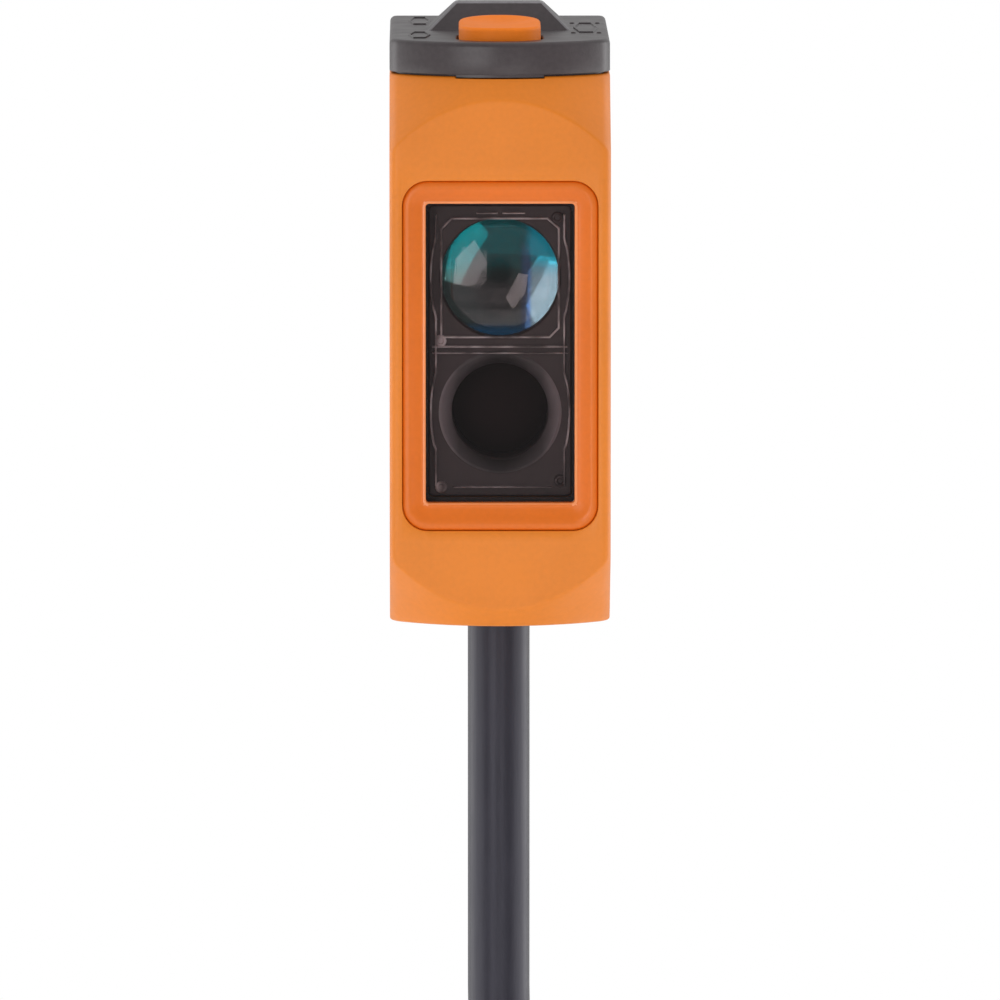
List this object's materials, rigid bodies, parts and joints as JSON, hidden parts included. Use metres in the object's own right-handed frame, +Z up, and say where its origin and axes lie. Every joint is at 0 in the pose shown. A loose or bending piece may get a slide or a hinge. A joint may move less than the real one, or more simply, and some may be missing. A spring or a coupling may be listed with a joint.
{
  "type": "photoelectric sensor",
  "caption": "Miniature cuboid photoelectric sensor: orange housing, dark cap with a teach button, tinted window over receiver lens and emitter, fixed cable.",
  "frame": {"origin": "middle of the two mounting holes, halfway through the body's width", "axes": "+X across the width, along the mounting holes; -Y out of the optical window; +Z up towards the button"},
  "size_m": [0.0642, 0.0363, 0.1635],
  "materials": {
    "orange_plastic": "fine moulded texture",
    "orange_frame": "smooth moulded",
    "orange_button": "smooth moulded",
    "dark_plastic": "fine moulded texture",
    "black_plastic": "matt black, low reflection",
    "window_plastic": "clear tinted acrylic",
    "lens_glass": "coated, teal reflection",
    "red_lens": "deep red filter plastic",
    "rubber_seal": "soft black",
    "circuit_board": "solder mask",
    "component_plastic": "moulded epoxy",
    "component_tan": "chip capacitor",
    "contact_metal": "gold plated",
    "tin_plate": "bright tin",
    "sleeve_steel": "turned stainless",
    "clamp_brass": "plain brass",
    "clear_plastic": "clear light pipe",
    "plunger_plastic": "natural nylon",
    "cable_jacket": "matt polyurethane jacket",
    "tie_nylon": "black nylon",
    "core_insulation": "coloured core insulation"
  },
  "bodies": {
    "sensor": {"housing": "orange_plastic", "rear_cover": "orange_plastic", "window_bezel": "orange_frame", "front_window": "window_plastic", "window_gasket": "rubber_seal", "lens_retainer": "black_plastic", "optics_carrier": "black_plastic", "receiver_lens": "lens_glass", "emitter_lens": "red_lens", "optical_barrier": "tin_plate", "photodiode": "component_plastic", "emitter_led": "red_lens", "optics_board": "circuit_board", "receiver_shield": "tin_plate", "amplifier_chip": "component_plastic", "main_board": "circuit_board", "controller_chip": "component_plastic", "output_driver": "component_plastic", "capacitors": "component_tan", "board_pins": "contact_metal", "display_board": "circuit_board", "teach_switch": "component_plastic", "status_leds": "clear_plastic", "light_pipes": "clear_plastic", "top_cap": "dark_plastic", "cap_gasket": "rubber_seal", "button_membrane": "rubber_seal", "mounting_sleeves": "sleeve_steel", "cable_gland": "rubber_seal", "crimp_ring": "clamp_brass", "inner_cable": "cable_jacket", "inner_leads": "core_insulation", "cable": "cable_jacket", "cable_coil": "cable_jacket", "cable_end": "cable_jacket", "cable_ties": "tie_nylon", "core_ends": "core_insulation", "ferrules": "tin_plate"},
    "button": {"push_button": "orange_button"},
    "plunger": {"switch_plunger": "plunger_plastic"}
  },
  "joints": [
    {"name": "button_press", "type": "slide", "parent": "sensor", "child": "button", "axis": [0, 0, -1], "range_m": [0, 0.00035], "stiffness_N_per_m": 4000, "springref_m": -0.0002},
    {"name": "plunger_press", "type": "slide", "parent": "sensor", "child": "plunger", "axis": [0, 0, -1], "range_m": [0, 0.00035]}
  ],
  "couplings": [
    {"joint": "plunger_press", "follows": "button_press", "ratio": 1}
  ]
}
